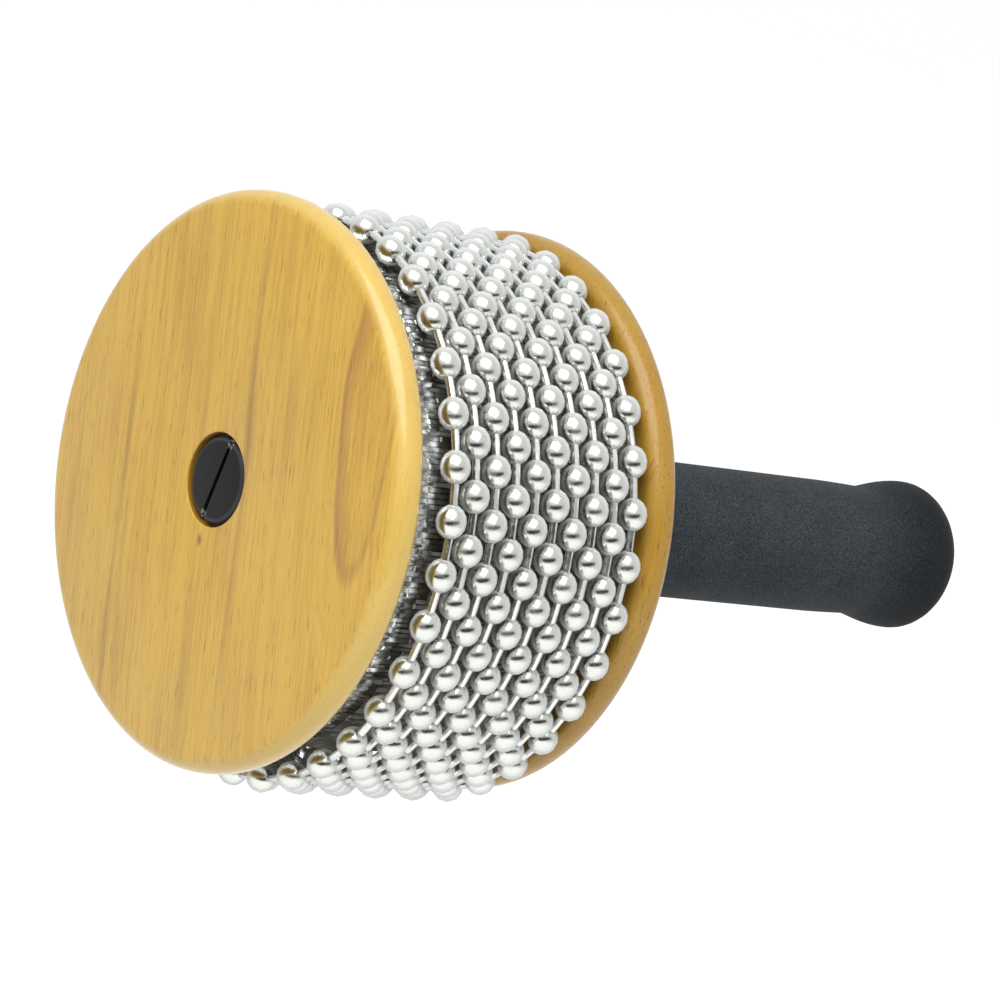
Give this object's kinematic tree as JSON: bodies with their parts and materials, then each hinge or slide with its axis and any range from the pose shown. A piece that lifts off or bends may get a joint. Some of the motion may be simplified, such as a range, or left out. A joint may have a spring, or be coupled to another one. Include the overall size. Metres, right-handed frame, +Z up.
{
  "type": "cabasa",
  "caption": "Hand percussion drum with wooden end discs, ribbed steel sheet, loops of steel ball chain round it and a foam-covered handle with a bulb end.",
  "frame": {"origin": "on the axis of the drum and handle, in the middle of the grip", "axes": "+X from the front disc to the end of the handle, +Z up as it is held, level"},
  "size_m": [0.1727, 0.1026, 0.1028],
  "materials": {
    "wood": "clear gloss varnish",
    "steel_sheet": "embossed, bright",
    "chain": "nickel plated, bright",
    "black_bolt": "black, satin",
    "brass": "plain",
    "foam": "matte closed-cell foam"
  },
  "bodies": {
    "drum": {"front_disc": "wood", "back_disc": "wood", "drum_core": "wood", "drum_sheet": "steel_sheet", "centre_bolt": "black_bolt", "handle_core": "wood", "handle_insert": "brass", "foam_grip": "foam"},
    "loop_01": {"ball_loop_01": "chain", "pin_loop_01": "chain"},
    "loop_02": {"ball_loop_02": "chain", "pin_loop_02": "chain"},
    "loop_03": {"ball_loop_03": "chain", "pin_loop_03": "chain"},
    "loop_04": {"ball_loop_04": "chain", "pin_loop_04": "chain"},
    "loop_05": {"ball_loop_05": "chain", "pin_loop_05": "chain"},
    "loop_06": {"ball_loop_06": "chain", "pin_loop_06": "chain"},
    "loop_07": {"ball_loop_07": "chain", "pin_loop_07": "chain"},
    "loop_08": {"ball_loop_08": "chain", "pin_loop_08": "chain"},
    "loop_09": {"ball_loop_09": "chain", "pin_loop_09": "chain"},
    "loop_10": {"ball_loop_10": "chain", "pin_loop_10": "chain"}
  },
  "joints": [
    {"name": "loops_spin", "type": "hinge", "parent": "drum", "child": "loop_10", "pos_m": [-0.0635, 0, -0.0015], "axis": [1, 0, 0], "continuous": true},
    {"name": "loop_01_slide", "type": "slide", "parent": "loop_10", "child": "loop_01", "axis": [-1, 0, 0], "range_m": [0, 0.0038]},
    {"name": "loop_02_slide", "type": "slide", "parent": "loop_10", "child": "loop_02", "axis": [-1, 0, 0], "range_m": [0, 0.00338]},
    {"name": "loop_03_slide", "type": "slide", "parent": "loop_10", "child": "loop_03", "axis": [-1, 0, 0], "range_m": [0, 0.00296]},
    {"name": "loop_04_slide", "type": "slide", "parent": "loop_10", "child": "loop_04", "axis": [-1, 0, 0], "range_m": [0, 0.00253]},
    {"name": "loop_05_slide", "type": "slide", "parent": "loop_10", "child": "loop_05", "axis": [-1, 0, 0], "range_m": [0, 0.00211]},
    {"name": "loop_06_slide", "type": "slide", "parent": "loop_10", "child": "loop_06", "axis": [-1, 0, 0], "range_m": [0, 0.00169]},
    {"name": "loop_07_slide", "type": "slide", "parent": "loop_10", "child": "loop_07", "axis": [-1, 0, 0], "range_m": [0, 0.00127]},
    {"name": "loop_08_slide", "type": "slide", "parent": "loop_10", "child": "loop_08", "axis": [-1, 0, 0], "range_m": [0, 0.000844]},
    {"name": "loop_09_slide", "type": "slide", "parent": "loop_10", "child": "loop_09", "axis": [-1, 0, 0], "range_m": [0, 0.000422]}
  ],
  "couplings": [
    {"joint": "loop_02_slide", "follows": "loop_01_slide", "ratio": 0.88889},
    {"joint": "loop_03_slide", "follows": "loop_01_slide", "ratio": 0.77778},
    {"joint": "loop_04_slide", "follows": "loop_01_slide", "ratio": 0.66667},
    {"joint": "loop_05_slide", "follows": "loop_01_slide", "ratio": 0.55556},
    {"joint": "loop_06_slide", "follows": "loop_01_slide", "ratio": 0.44444},
    {"joint": "loop_07_slide", "follows": "loop_01_slide", "ratio": 0.33333},
    {"joint": "loop_08_slide", "follows": "loop_01_slide", "ratio": 0.22222},
    {"joint": "loop_09_slide", "follows": "loop_01_slide", "ratio": 0.11111}
  ]
}
